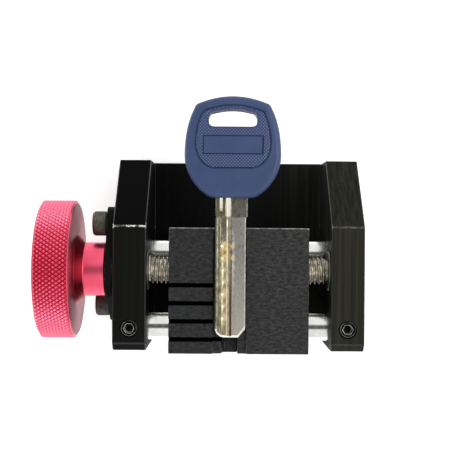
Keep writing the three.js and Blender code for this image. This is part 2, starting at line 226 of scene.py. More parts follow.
def round_edges(piece, width, segments=4, degrees=40, material=-1):
    """Rounds the edges that turn by more than some degrees; material is a slot number for the new faces."""
    modifier = piece.modifiers.new("rounded_edges", "BEVEL")
    modifier.width = mm(width)
    modifier.segments = segments
    modifier.limit_method = "ANGLE"
    modifier.angle_limit = math.radians(degrees)
    modifier.material = material
    apply_modifiers(piece)
    return piece


def shade_even(piece):
    """Smooth shading that follows the large faces, so that flats stay flat."""
    for polygon in piece.data.polygons:
        polygon.use_smooth = True
    modifier = piece.modifiers.new("even_shading", "WEIGHTED_NORMAL")
    modifier.weight = 60
    return piece


def shade_facets(piece, sharp_degrees):
    """Smooth shading with sharp edges where the surface turns by more than some degrees."""
    for polygon in piece.data.polygons:
        polygon.use_smooth = True
    piece.data.set_sharp_from_angle(angle=math.radians(sharp_degrees))
    return piece


def prism(name, outline, axis, start, end):
    """A closed outline, in the two axes that aren't the given one, made solid from start to end."""
    at = "XYZ".index(axis)
    count = len(outline)
    vertices = [[*point[:at], level, *point[at:]] for level in (start, end) for point in outline]
    faces = [list(range(count)), list(range(count, 2 * count))]
    faces += [[i, (i + 1) % count, count + (i + 1) % count, count + i] for i in range(count)]
    return piece_from(name, vertices, faces)


def circle(centre, radius, steps=64):
    angles = [2 * math.pi * i / steps for i in range(steps)]
    return [(centre[0] + radius * math.cos(t), centre[1] + radius * math.sin(t)) for t in angles]


def rod(name, axis, centre, radius, start, end, steps=64):
    return prism(name, circle(centre, radius, steps), axis, start, end)


def hexagon(name, axis, centre, across, start, end):
    return rod(name, axis, centre, across / math.sqrt(3), start, end, steps=6)


def block(name, low, high):
    outline = [(low[0], low[1]), (high[0], low[1]), (high[0], high[1]), (low[0], high[1])]
    return prism(name, outline, "Z", low[2], high[2])


def lathe(name, rings, centre, steps=96, axis="X", closed=False):
    """A turned body from rings, each a place along the axis and a radius or a function of the angle.

    The rings start and end on the axis, or the profile closes on itself."""
    vertices, starts, faces = [], [], []
    for along, radius in rings:
        count = 1 if radius == 0 else steps
        starts.append((len(vertices), count))
        for k in range(count):
            angle = 2 * math.pi * k / steps
            r = radius(angle) if callable(radius) else radius
            u, v = centre[0] + r * math.cos(angle), centre[1] + r * math.sin(angle)
            vertices.append((along, u, v) if axis == "X" else (u, v, along))
    following = starts[1:] + starts[:1] if closed else starts[1:]
    for (f0, n0), (f1, n1) in zip(starts, following):
        for k in range(steps):
            j = (k + 1) % steps
            corners = dict.fromkeys([f0 + k % n0, f0 + j % n0, f1 + j % n1, f1 + k % n1])
            if len(corners) > 2:
                faces.append(list(corners))
    return piece_from(name, vertices, faces)


def start_of(place, radius, edge):
    """Rings of a turned body's chamfered first end."""
    return [(place, 0), (place, radius - edge), (place + edge, radius)]


def end_of(place, radius, edge):
    """Rings of a turned body's chamfered last end."""
    return [(place - edge, radius), (place, radius - edge), (place, 0)]


def turned_ring(name, node, bore, edge):
    """A bush or washer along X, with its four edges chamfered."""
    low, high = box_mm(node)
    outer = radius_of(node)
    rings = [(low.x, bore + edge)] + start_of(low.x, outer, edge)[1:] + end_of(high.x, outer, edge)[:-1]
    rings += [(high.x, bore + edge), (high.x - edge, bore), (low.x + edge, bore)]
    piece = lathe(name, rings, axis_of(node), closed=True)
    return shade_even(round_edges(piece, edge / 3, 2, 30))


def arc(centre, radius, start, end, steps=16):
    """Points along an arc between two angles in degrees, without the last one."""
    angles = [math.radians(start + (end - start) * i / steps) for i in range(steps)]
    return [(centre[0] + radius * math.cos(t), centre[1] + radius * math.sin(t)) for t in angles]


def curve(start, pull, end, steps=12):
    """Points along a quadratic curve, without the last one."""
    points = []
    for i in range(steps):
        t = i / steps
        weights = ((1 - t) ** 2, 2 * t * (1 - t), t ** 2)
        points.append(tuple(sum(w * p[k] for w, p in zip(weights, (start, pull, end))) for k in (0, 1)))
    return points


def inset(outline, distance):
    """An anticlockwise outline, moved inwards."""
    moved = []
    for i, (x, y) in enumerate(outline):
        before, after = outline[i - 1], outline[(i + 1) % len(outline)]
        along = Vector((after[0] - before[0], after[1] - before[1])).normalized()
        moved.append((x - along.y * distance, y + along.x * distance))
    return moved


def stands_for(piece, node, body):
    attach(piece, body)
    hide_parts(node)


# ---- procedural materials ----


def linear(value):
    c = value / 255
    return c / 12.92 if c <= 0.04045 else ((c + 0.055) / 1.055) ** 2.4


def srgb(red, green, blue):
    return (linear(red), linear(green), linear(blue), 1.0)


class Finish:
    """A material under construction: the shader, and short ways to add texture nodes."""

    def __init__(self, name, roughness, metallic=0.0, specular=0.5):
        self.material = bpy.data.materials.new(name)
        self.material.use_nodes = True
        self.tree = self.material.node_tree
        self.shader = self.tree.nodes["Principled BSDF"]
        self.shader.inputs["Roughness"].default_value = roughness
        self.shader.inputs["Metallic"].default_value = metallic
        self.shader.inputs["Specular IOR Level"].default_value = specular
        self.height = None

    def node(self, kind, **inputs):
        made = self.tree.nodes.new(kind)
        for key, value in inputs.items():
            made.inputs[key].default_value = value
        return made

    def link(self, output, target):
        self.tree.links.new(output, target)

    def place(self, stretch=(1, 1, 1)):
        coordinates = self.node("ShaderNodeTexCoord")
        mapping = self.node("ShaderNodeMapping", Scale=stretch)
        self.link(coordinates.outputs["Object"], mapping.inputs["Vector"])
        return mapping.outputs["Vector"]

    def noise(self, scale, detail=3.0, stretch=(1, 1, 1), rough=0.5):
        texture = self.node("ShaderNodeTexNoise", Scale=scale, Detail=detail, Roughness=rough)
        self.link(self.place(stretch), texture.inputs["Vector"])
        return texture.outputs["Fac"]

    def spread(self, value, low, high, start=0.3, end=0.7):
        """Maps start to end onto low to high, and clamps what is outside."""
        limits = {"From Min": start, "From Max": end, "To Min": low, "To Max": high}
        node = self.node("ShaderNodeMapRange", **limits)
        self.link(value, node.inputs["Value"])
        return node.outputs["Result"]

    def along(self, axis, start, end, low=0.0, high=1.0):
        """A value that goes from low to high between two places on an axis of the object."""
        split = self.node("ShaderNodeSeparateXYZ")
        self.link(self.place(), split.inputs["Vector"])
        return self.spread(split.outputs[axis], low, high, mm(start), mm(end))

    def multiply(self, first, second):
        node = self.node("ShaderNodeMath")
        node.operation = "MULTIPLY"
        self.link(first, node.inputs[0])
        self.link(second, node.inputs[1])
        return node.outputs["Value"]

    def between(self, axis, start, end, soft=0.1):
        """1 between two places on an axis of the object and 0 outside them."""
        return self.multiply(self.along(axis, start, start + soft), self.along(axis, end, end - soft))

    def vector_math(self, operation, value, other=(0, 0, 0)):
        node = self.node("ShaderNodeVectorMath")
        node.operation = operation
        self.link(value, node.inputs[0])
        node.inputs[1].default_value = other
        return node

    def distance(self, centre, axes=(1, 1, 1)):
        """Distance in metres from a place in millimetres, with a weight for each axis."""
        offset = self.vector_math("SUBTRACT", self.place(), mm(*centre))
        weighted = self.vector_math("MULTIPLY", offset.outputs["Vector"], axes)
        return self.vector_math("LENGTH", weighted.outputs["Vector"]).outputs["Value"]

    def mix(self, factor, first, second):
        node = self.tree.nodes.new("ShaderNodeMix")
        node.data_type = "RGBA"
        self.link(factor, node.inputs["Factor"])
        for socket, colour in (("A", first), ("B", second)):
            if isinstance(colour, tuple):
                node.inputs[socket].default_value = colour
            else:
                self.link(colour, node.inputs[socket])
        return node.outputs["Result"]

    def blend(self, value, first, second, start=0.3, end=0.7):
        """Two colours mixed by a noise."""
        return self.mix(self.spread(value, 0, 1, start, end), first, second)

    def colour(self, output):
        self.link(output, self.shader.inputs["Base Color"])

    def roughness(self, output):
        self.link(output, self.shader.inputs["Roughness"])

    def bump(self, value, depth_mm):
        node = self.node("ShaderNodeBump", Strength=1.0, Distance=mm(depth_mm))
        self.link(value, node.inputs["Height"])
        if self.height is not None:
            self.link(self.height, node.inputs["Normal"])
        self.height = node.outputs["Normal"]
        self.link(self.height, self.shader.inputs["Normal"])


def mottled(name, metallic, specular, dark, light, cloud, gloss, grain=None, relief=None, depth=0):
    """A finish whose colour follows one noise, cloud, and whose roughness and relief follow finer ones."""
    f = Finish(name, sum(gloss) / 2, metallic, specular)
    f.colour(f.blend(f.noise(*cloud), dark, light))
    f.roughness(f.spread(f.noise(*(grain or cloud)), *gloss))
    if depth:
        f.bump(f.noise(*(relief or grain or cloud)), depth)
    return f.material


def milled_black():
    """Blackened steel with end-mill streaks along Y; the right cheek is painted lighter and a little browner
    as painted light, and the slopes get painted shade.
    """
    f = Finish("milled_black_steel", 0.42, 0.0, 0.015)
    streaks = f.noise(1100, 4, (1, 0.015, 0.2), 0.6)
    low, high = box_mm("frame_body")
    back = f.multiply(f.along("Y", SLOPE_START, SLOPE_START + 0.2), f.along("Z", 1, 2))
    # Masks for the cheeks' slopes and rear faces, which get painted shade.
    left_slope_shade = f.multiply(back, f.between("X", low.x + 0.1, -CHEEK_INNER - 0.1, 0.05))
    right_slope_shade = f.multiply(back, f.between("X", CHEEK_INNER + 0.1, high.x - 0.1, 0.05))
    # Painted shade: the left cheek's slope is painted nearly black.
    left = f.mix(left_slope_shade, f.blend(streaks, srgb(17, 17, 17), srgb(22, 22, 21)), srgb(5, 5, 5))
    # Painted light from the right: the right cheek is painted lighter and browner, and its slope a little
    # darker as painted shade.
    right = f.blend(streaks, srgb(28, 28, 24), srgb(50, 50, 42))
    right = f.mix(right_slope_shade, right, f.blend(streaks, srgb(20, 20, 17), srgb(44, 44, 36)))
    # Painted light: the colour turns from the darker left cheek to the lighter right cheek.
    f.colour(f.mix(f.along("X", 10, 30), left, right))
    f.roughness(f.spread(f.noise(70, 3), 0.36, 0.5))
    f.bump(streaks, 0.006)
    f.bump(f.noise(3500, 2), 0.002)
    return f.material


def milled_edge():
    """The edges of the milled body: dull oxide, painted darker low in the channel as painted shade, and bare
    metal in broken spots at the slope break.
    """
    f = Finish("milled_edge", 0.4, 0.3, 0.5)
    spots = f.spread(f.noise(900, 4, (0.7, 1, 1), 0.75), 0, 1, 0.46, 0.6)
    rear = f.along("Y", SLOPE_START + 1, SLOPE_START + 0.5)
    front = f.along("Y", SLOPE_START - 1, SLOPE_START - 0.5)
    left = f.along("X", -25, -27, 0.12, 1)
    bare = f.multiply(f.multiply(f.multiply(rear, front), left), spots)
    oxide = f.blend(f.noise(300, 3), srgb(15, 15, 14), srgb(34, 34, 31))
    # Painted shade: edges low in the channel are painted darker than those higher up.
    oxide = f.mix(f.along("Z", FLOOR_TOP + 3, FLOOR_TOP + 8), srgb(12, 12, 11), oxide)
    f.colour(f.mix(bare, oxide, srgb(235, 235, 228)))
    f.roughness(f.spread(spots, 0.35, 0.5, 0, 1))
    return f.material


def ground_black():
    """Blackened ground steel of the jaws: a fine mottled grain, slightly drawn out along X, with the right
    jaw painted a little lighter as painted light from the right.
    """
    f = Finish("ground_black_steel", 0.5, 0.0, 0.2)
    grain = f.noise(1500, 5, (0.45, 1, 1), 0.8)
    lines = f.noise(1500, 3, (0.03, 1, 1), 0.6)
    left = f.blend(grain, srgb(4, 4, 5), srgb(48, 48, 48), 0.4, 0.6)
    right = f.blend(grain, srgb(6, 6, 7), srgb(56, 56, 55), 0.4, 0.6)
    # Painted light: the colour turns from the darker left jaw to the lighter right jaw.
    mixed = f.mix(f.along("X", -8, 8), left, right)
    f.colour(f.mix(f.spread(f.noise(160, 3), 0, 0.4), mixed, srgb(24, 27, 27)))
    f.roughness(f.spread(lines, 0.42, 0.58))
    f.bump(lines, 0.004)
    f.bump(grain, 0.004)
    return f.material


def ground_edge():
    """Edges of the jaws, rubbed to bare grey here and there, with a painted highlight along the rear top
    edge.
    """
    f = Finish("ground_edge", 0.45, 0.0, 0.15)
    rubbed = f.spread(f.noise(700, 4, (1, 1, 1), 0.7), 0, 1, 0.42, 0.6)
    rear = box_mm("left_jaw")[1].y
    dull = f.mix(rubbed, srgb(22, 22, 22), srgb(62, 62, 61))
    bright = f.mix(rubbed, srgb(84, 84, 83), srgb(150, 150, 147))
    # Painted highlight: the rear top edges are painted lighter, over the rubbed wear.
    f.colour(f.mix(f.along("Y", rear - 0.6, rear - 0.3), dull, bright))
    f.roughness(f.spread(rubbed, 0.5, 0.38, 0, 1))
    return f.material


def red_anodised():
    """Satin anodised aluminium, with fine turning lines round the X axis; painted shade darkens the knurl's
    roots and the cone, the knurl's points are paler as a painted highlight, and a painted reflection greys
    the flat right face.
    """
    f = Finish("red_anodised", 0.34, 1.0)
    lines = f.noise(2400, 2, (1, 0.02, 0.02))
    crest = radius_of("knob")
    out = f.distance((0, *axis_of("knob")), (0, 1, 1))
    # Painted shade in the knurl's roots and a paler painted highlight on its points, by distance from the
    # axis.
    knurl_root_shade = f.spread(out, 1, 0, mm(crest - KNURL["depth"]), mm(crest - KNURL["tip"]))
    turned_part = f.blend(f.noise(260, 3), srgb(238, 98, 124), srgb(228, 84, 110))
    # Painted shade: the cone is painted a darker red.
    cone = f.between("X", FACE_RIGHT + 0.1, HUB["cone_end"])
    turned_part = f.mix(cone, turned_part, srgb(170, 36, 52))
    # Painted reflection: the flat right face is painted a greyer, darker red.
    face = f.between("X", FACE_RIGHT - 0.3, FACE_RIGHT + 0.05)
    turned_part = f.mix(face, turned_part, srgb(116, 76, 76))
    knurled = f.mix(knurl_root_shade, srgb(238, 120, 146), srgb(176, 30, 58))
    knurl_end = FACE_RIGHT - KNOB["edge"]
    f.colour(f.mix(f.along("X", knurl_end, knurl_end - 0.1), turned_part, knurled))
    f.roughness(f.spread(lines, 0.28, 0.4))
    f.bump(lines, 0.0012)
    f.bump(f.noise(5000, 2), 0.0015)
    return f.material


def key_nickel():
    """Nickel-plated brass: cool and mottled on the right, with a painted highlight along its right edge, and
    warmer along the fluted left side, with painted shadow beside the deep flute.
    """
    f = Finish("key_nickel", 0.34, 1.0)
    patches = f.noise(1300, 5, (1, 0.5, 1), 0.75)
    mottle = f.spread(patches, 0, 1, 0.36, 0.64)
    side, shoulder = BLADE["right"], BLADE["shoulder"]
    cool = f.mix(mottle, srgb(112, 112, 110), srgb(206, 200, 190))
    tip = f.mix(mottle, srgb(168, 162, 150), srgb(240, 232, 218))
    collar = f.mix(mottle, srgb(74, 70, 62), srgb(150, 146, 138))
    right = f.mix(f.along("Y", 2, -20), cool, tip)
    # Painted highlight: a near-white strip along the blade's right edge.
    right = f.mix(f.along("X", side - 0.3, side - 0.2), right, srgb(246, 243, 234))
    right = f.mix(f.along("Y", shoulder - 0.1, shoulder + 0.1), right, collar)
    margin = f.mix(mottle, srgb(80, 76, 62), srgb(152, 146, 124))
    band = f.mix(mottle, srgb(128, 120, 100), srgb(178, 169, 148))
    left = f.mix(f.along("X", PLATING["band"] - 0.25, PLATING["band"]), margin, band)
    track = f.multiply(f.between("X", *PLATING["track"]), f.along("Y", 4, 1))
    left = f.mix(track, left, srgb(186, 172, 138))
    worn_y = DIMPLE_ROW["first_y"] - DIMPLE_ROW["pitch"] / 2
    worn = f.distance((PLATING["worn"], worn_y, 0), (1, 0.5, 0))
    left = f.mix(f.spread(worn, 0.75, 0, mm(0.7), mm(1.6)), left, srgb(190, 156, 98))
    # Painted shadow: a dark brown strip beside the deep flute, strongest towards the tip.
    flute_shade = f.multiply(f.between("X", *PLATING["flute_shade"], 0.15), f.along("Y", 8, -12))
    both = f.mix(f.along("X", PLATING["split"] - 0.1, PLATING["split"]), left, right)
    f.colour(f.mix(flute_shade, both, srgb(96, 76, 56)))
    f.roughness(f.spread(patches, 0.42, 0.24))
    f.bump(patches, 0.008)
    f.bump(f.noise(900, 3, (1, 0.04, 1)), 0.004)
    return f.material


def hatched_plastic():
    """The same plastic on the hatch, with painted shade in the valleys and painted highlights on the points.
    """
    f = Finish("hatched_plastic", 0.4, 0.0, 0.45)
    middle = (BLADE["bottom"] + BLADE["top"]) / 2
    floor = HEAD["thickness"] / 2 - PANEL["depth"]
    level = f.distance((0, 0, middle), (0, 0, 1))
    # Painted shade at the hatch's floor and painted highlight at its points, by height.
    hatch_light_and_shade = f.spread(level, 0, 1, mm(floor), mm(floor + HATCH["height"]))
    f.colour(f.mix(hatch_light_and_shade, srgb(14, 24, 54), srgb(92, 112, 164)))
    f.roughness(f.spread(f.noise(1500, 2), 0.34, 0.46))
    f.bump(f.noise(2800, 3), 0.004)
    return f.material


def pale_floor():
    f = Finish("pale_floor", 0.9, 0.0, 0.1)
    f.shader.inputs["Emission Color"].default_value = (1, 1, 1, 1)
    f.shader.inputs["Emission Strength"].default_value = FLOOR["glow"]
    f.colour(f.blend(f.noise(6, 2), srgb(250, 250, 250), srgb(248, 248, 248)))
    return f.material


def black_oxide(name, dark, light, metallic, specular):
    """Blackened steel with a fine grain."""
    finish = (name, metallic, specular, dark, light)
    return mottled(*finish, (800, 3), (0.3, 0.46), relief=(3500, 2), depth=0.003)


TURNING = (2600, 2, (1, 0.03, 0.03))
SCRATCHES = (700, 4, (1, 1, 1), 0.7)

MILLED = milled_black()
# Painted shade: the insides of the jaws' stop grooves are painted nearly black.
GROOVE_SHADE = black_oxide("groove_oxide", srgb(3, 3, 3), srgb(9, 9, 9), 0.0, 0.0)
JAW_METALS = (ground_black(), ground_edge(), GROOVE_SHADE)
CAP_OXIDE = black_oxide("cap_screw_oxide", srgb(58, 57, 50), srgb(92, 90, 80), 0.5, 0.35)
GRUB_OXIDE = black_oxide("grub_screw_oxide", srgb(4, 4, 4), srgb(16, 16, 15), 0.0, 0.05)
RED = red_anodised()
POLISHED = mottled(
    "polished_steel", 1.0, 0.5, srgb(228, 228, 224), srgb(206, 207, 202),
    (220, 3), (0.1, 0.2), TURNING, depth=0.0008,
)
FACED = mottled(
    "faced_steel", 1.0, 0.5, srgb(92, 91, 87), srgb(150, 149, 143),
    SCRATCHES, (0.38, 0.55), depth=0.004,
)
THREAD = mottled(
    "thread_steel", 1.0, 0.5, srgb(244, 240, 228), srgb(168, 158, 138),
    (700, 3), (0.22, 0.42), relief=(5000, 2), depth=0.002,
)
OXIDE_EDGE = mottled(
    "oxide_edge", 0.8, 0.5, srgb(150, 150, 142), srgb(205, 205, 196),
    (900, 3), (0.28, 0.4), (1500, 2),
)
BRONZE = mottled(
    "sintered_bronze", 1.0, 0.5, srgb(150, 148, 140), srgb(112, 108, 98),
    (300, 3), (0.3, 0.5), (4500, 3), depth=0.004,
)
CUT_BRASS = mottled(
    "cut_brass", 1.0, 0.5, srgb(210, 194, 150), srgb(182, 164, 120),
    (2600, 3), (0.22, 0.38), depth=0.003,
)
BRIGHT_NICKEL = mottled(
    "bright_nickel", 1.0, 0.5, srgb(236, 232, 222), srgb(214, 209, 196),
    (2400, 3), (0.14, 0.28), depth=0.002,
)
KEY_METALS = (key_nickel(), CUT_BRASS, BRIGHT_NICKEL)
KEY_PLASTIC = mottled(
    "key_plastic", 0.0, 0.45, srgb(36, 54, 92), srgb(43, 62, 101),
    (110, 2), (0.36, 0.5), (1500, 2), (2800, 3), 0.006,
)


# ---- the frame ----


def bearing_seats(low):
    centre = axis_of("lead_screw")
    bush_high = box_mm("right_bush")[1]
    washer_high = box_mm("thrust_washer_inner")[1]
    bush_radius = radius_of("right_bush") + BORE_ROOM
    chamber_radius = radius_of("thrust_washer_inner") + BORE_ROOM
    seats = [
        rod("left_seat", "X", centre, bush_radius, low.x - PAST, -CHEEK_INNER + PAST),
        rod("chamber", "X", centre, chamber_radius, low.x - PAST, washer_high.x + BORE_ROOM),
        rod("right_seat", "X", centre, bush_radius, CHEEK_INNER - PAST, bush_high.x + BORE_ROOM),
    ]
    hole = CAP_HEAD["shank"] + BORE_ROOM
    for node in FLANGE_SCREWS:
        end = box_mm(node)[1].x + BORE_ROOM
        seats.append(rod("flange_hole", "X", axis_of(node), hole, low.x - PAST, end, 32))
    return seats


def rod_and_screw_holes(low, high):
    cutters = []
    for node in GUIDE_RODS:
        radius = radius_of(node) + BORE_ROOM
        cutters.append(rod("bore", "X", axis_of(node), radius, low.x - PAST, high.x + PAST))
    for side in ("left", "right"):
        for place in ("front", "rear"):
            x, y, radius = upright(f"{place}_rod_set_screw_{side}")
            middle = axis_of(f"{place}_guide_rod")[1]
            start, end = (middle, high.z + PAST) if place == "front" else (-PAST, middle)
            cutters.append(rod("screw_hole", "Z", (x, y), radius + BORE_ROOM, start, end, 48))
    return cutters


def tapped_holes():
    hole = TAPPED_HOLE
    places = [(x, y) for x in (-hole["x"], hole["x"]) for y in (-hole["y"], hole["y"])]
    return [rod("tapped", "Z", place, hole["radius"], -PAST, hole["depth"], 48) for place in places]


def milled_body():
    low, high = box_mm("frame_body")
    drop = high.y - SLOPE_START
    outline = [
        (low.y, 0),
        (high.y, 0),
        (high.y, high.z - drop),
        (SLOPE_START, high.z),
        (low.y + FRONT_CHAMFER, high.z),
        (low.y, high.z - FRONT_CHAMFER),
    ]
    body = paint(prism("milled_body", outline, "X", low.x, high.x), MILLED, milled_edge())
    channel_low = (-CHEEK_INNER, low.y - PAST, FLOOR_TOP)
    combine(body, [block("channel", channel_low, (CHEEK_INNER, high.y + PAST, high.z + PAST))])
    round_edges(body, 0.3, material=1)
    combine(body, rod_and_screw_holes(low, high) + bearing_seats(low) + tapped_holes())
    round_edges(body, 0.15, 2, 50, material=1)
    return shade_even(body)


def faced_ends(piece):
    """Give the flat turned ends the second material."""
    for polygon in piece.data.polygons:
        if abs(polygon.normal.x) > 0.99:
            polygon.material_index = 1
    return piece


def guide_rod(node, name):
    low, high = box_mm(node)
    radius = radius_of(node)
    rings = start_of(low.x, radius, ROD_EDGE) + end_of(high.x, radius, ROD_EDGE)
    piece = faced_ends(paint(lathe(name, rings, axis_of(node), 128), POLISHED, FACED))
    return shade_even(round_edges(piece, 0.1, 2, 30))


# ---- jaws ----


def jaw_bores(low, high):
    reach = (low.x - PAST, high.x + PAST)
    cutters = [rod("bore", "X", axis_of("lead_screw"), SCREW["radius"] + BORE_ROOM, *reach, 96)]
    for node in GUIDE_RODS:
        cutters.append(rod("bore", "X", axis_of(node), radius_of(node) + BORE_ROOM / 2, *reach, 96))
    return cutters


def stop_grooves(low, high):
    half = STOP_GROOVE["width"] / 2
    bottom = high.z - STOP_GROOVE["depth"]
    cutters = []
    for i in range(STOP_GROOVE["count"]):
        y = low.y + STOP_GROOVE["first"] + i * STOP_GROOVE["pitch"]
        end = TONGUE["slope_bottom"] if i == 0 else LEFT_WALL + BORE_ROOM
        groove = block("groove", (low.x - PAST, y - half, bottom), (end, y + half, high.z + PAST))
        # The groove cutters take the third slot, the painted shade inside the grooves.
        cutters.append(in_slot(groove, 2, *JAW_METALS))
    return cutters


def finished_jaw(name, node, outline, extra_cutters):
    low, high = box_mm(node)
    jaw = paint(prism(name, outline, "Y", low.y, high.y), *JAW_METALS)
    round_edges(jaw, 0.24, material=1)
    combine(jaw, jaw_bores(low, high) + extra_cutters)
    round_edges(jaw, 0.08, 2, 50)
    return shade_even(jaw)


def left_jaw():
    low, high = box_mm("left_jaw")
    high.x = PARTING - PARTING_GAP / 2
    outline = [
        (low.x, low.z),
        (high.x, low.z),
        (high.x, TONGUE["top"]),
        (TONGUE["slope_bottom"], TONGUE["top"]),
        (TONGUE["slope_top"], LEDGE_TOP),
        (LEFT_WALL, LEDGE_TOP),
        (LEFT_WALL, high.z),
        (low.x, high.z),
    ]
    return finished_jaw("stepped_left_jaw", "left_jaw", outline, stop_grooves(low, high))


def right_jaw():
    low, high = box_mm("right_jaw")
    low.x = PARTING + PARTING_GAP / 2
    outline = [
        (low.x, low.z),
        (high.x, low.z),
        (high.x, high.z),
        (RIGHT_WALL, high.z),
        (RIGHT_WALL, LEDGE_TOP),
        (low.x, LEDGE_TOP),
    ]
    return finished_jaw("stepped_right_jaw", "right_jaw", outline, [])


# ---- the spindle ----


def thread_radius(along, angle, radius, form, hand=1):
    """Radius of a 60 degree thread with narrow crests and roots at a place on a screw."""
    phase = (along / form["pitch"] - hand * angle / (2 * math.pi)) % 1.0
    from_crest = abs(2 * phase - 1)
    flank = min(max((from_crest - form["crest"]) / form["flank"], 0), 1)
    return radius - form["depth"] * (1 - flank)


def lead_ring(x):
    """One ring of the lead screw: left-hand to the left of the relief and right-hand to its right."""
    shoulder = RELIEF["radius"] + max(0, abs(x) - RELIEF["half"]) * 1.2
    chamfer = max(SCREW["journal"] + (SCREW["thread_half"] - x) * 1.5, SCREW["journal"])
    limit = min(shoulder, chamfer)
    hand = 1 if x > 0 else -1
    return x, lambda angle: min(thread_radius(x, angle, SCREW["radius"], LEAD_THREAD, hand), limit)


def threaded_spindle():
    low, high = box_mm("lead_screw")
    radius, journal, half = SCREW["radius"], SCREW["journal"], SCREW["thread_half"]
    collar_left = box_mm("thrust_washer_outer")[1].x + SCREW["collar_room"]
    collar_right = box_mm("thrust_washer_inner")[0].x - SCREW["collar_room"]
    collar = radius_of("lead_screw")
    hub_right = box_mm("knob")[1].x
    edge = SCREW["edge"]
    rings = start_of(low.x, journal, edge)
    rings += [(hub_right, journal), (hub_right, radius), (collar_left, radius)]
    rings += start_of(collar_left, collar, edge)[1:] + end_of(collar_right, collar, edge)[:-1]
    rings.append((collar_right, radius))
    rings_per_turn = 14
    count = round(2 * half / LEAD_THREAD["pitch"] * rings_per_turn)
    rings += [lead_ring(-half + 2 * half * i / count) for i in range(count + 1)]
    rings += end_of(high.x, journal, edge)
    spindle = paint(lathe("threaded_spindle", rings, axis_of("lead_screw"), 72), THREAD, FACED)
    return shade_facets(faced_ends(spindle), 45)


def knurl_band(x0, x1, crest, centre):
    """A closed ring whose outside is a male diamond knurl: four-sided points with small flats on top."""
    around, rows, flat = KNURL["around"], KNURL["rows"], KNURL["flat"]
    root = crest - KNURL["depth"]
    inner = root - KNURL["wall"]
    step = (x1 - x0) / rows
    vertices, faces = [], []

    def face(*corners):
        first = len(vertices)
        for x, turn, radius in corners:
            angle = 2 * math.pi * turn / around
            y, z = centre[0] + radius * math.cos(angle), centre[1] + radius * math.sin(angle)
            vertices.append((min(max(x, x0), x1), y, z))
        faces.append(list(range(first, len(vertices))))

    for row in range(rows + 1):
        x = x0 + row * step
        for k in range(around):
            turn = k + 0.5 + (row % 2) / 2
            sides = [(x, turn - 0.5, root), (x, turn + 0.5, root)]
            ends = [(x - step, turn, root), (x + step, turn, root)]
            tops = [(x, turn - flat, crest), (x, turn + flat, crest)]
            tips = [(x - flat * step, turn, crest), (x + flat * step, turn, crest)]
            for side, top in zip(sides, tops):
                for end, tip in zip(ends, tips):
                    face(side, top, tip, end)
            face(tops[0], tips[1], tops[1], tips[0])
    for k in range(2 * around):
        a, b = k / 2, (k + 1) / 2
        face((x0, a, root), (x0, b, root), (x0, b, inner), (x0, a, inner))
        face((x1, a, root), (x1, b, root), (x1, b, inner), (x1, a, inner))
        face((x0, a, inner), (x0, b, inner), (x1, b, inner), (x1, a, inner))
    return piece_from("knurl", vertices, faces)


def knurled_knob():
    low, high = box_mm("knob")
    centre = axis_of("knob")
    crest = radius_of("knob")
    x0, x1 = low.x + KNOB["edge"], FACE_RIGHT - KNOB["edge"]
    under = crest - KNURL["depth"] - KNURL["wall"] / 2
    hub, cone, cone_end, edge = (HUB[key] for key in ("radius", "cone_radius", "cone_end", "edge"))
    rings = [(low.x + KNOB["dish"], 0)] + [(low.x + depth, crest - inwards) for depth, inwards in DISH_WALL]
    rings += [(x0 - out, crest - down) for out, down in SHOULDER] + [(x0, under), (x1, under)]
    rings += [(x1 + out, crest - down) for out, down in reversed(SHOULDER)]
    rings += [(FACE_RIGHT, cone + 0.15), (FACE_RIGHT + 0.12, cone), (cone_end - 0.1, hub + 0.12)]
    rings += [(cone_end + 0.15, hub), (high.x - edge, hub), (high.x, hub - edge), (high.x, KNOB["bore"])]
    rings += [(KNOB["bore_end"], KNOB["bore"]), (KNOB["bore_end"], 0)]
    core = paint(lathe("knurled_knob", rings, centre, 192), RED)
    x, y, radius = upright("knob_set_screw")
    below = centre[1] - 2 * hub
    combine(core, [rod("screw_hole", "Z", (x, y), radius + BORE_ROOM, below, centre[1], 48)])
    join_meshes(core, [knurl_band(x0, x1, crest, centre)])
    return shade_facets(core, 24)


# ---- flange and screws ----


def hull(name, outlines, start, end):
    """The convex plate that wraps some outlines, made solid along X."""
    work = bmesh.new()
    for outline in outlines:
        for a, b in outline:
            for x in (start, end):
                work.verts.new(mm(x, a, b))
    bmesh.ops.convex_hull(work, input=work.verts)
    inside = [vertex for vertex in work.verts if not vertex.link_faces]
    bmesh.ops.delete(work, geom=inside, context="VERTS")
    bmesh.ops.dissolve_limit(work, angle_limit=math.radians(0.5), verts=work.verts, edges=work.edges)
    return piece_of(name, work)


def bearing_flange():
    low, high = box_mm("retainer_flange")
    centre = axis_of("lead_screw")
    boss = circle(centre, FLANGE["boss"])
    ears = [axis_of(node) for node in FLANGE_SCREWS]
    plates = [hull("bearing_flange", [boss, circle(ear, FLANGE["ear"])], low.x, high.x) for ear in ears]
    plate = combine(paint(plates[0], MILLED, OXIDE_EDGE), [plates[1]], "UNION")
    round_edges(plate, 0.3, 3, 50, material=1)
    reach = (low.x - PAST, high.x + PAST)
    cutters = [rod("bore", "X", centre, FLANGE["bore"], *reach)]
    cutters += [rod("hole", "X", ear, CAP_HEAD["shank"] + BORE_ROOM, *reach, 32) for ear in ears]
    combine(plate, cutters)
    round_edges(plate, 0.15, 2, 60)
    return shade_even(plate)


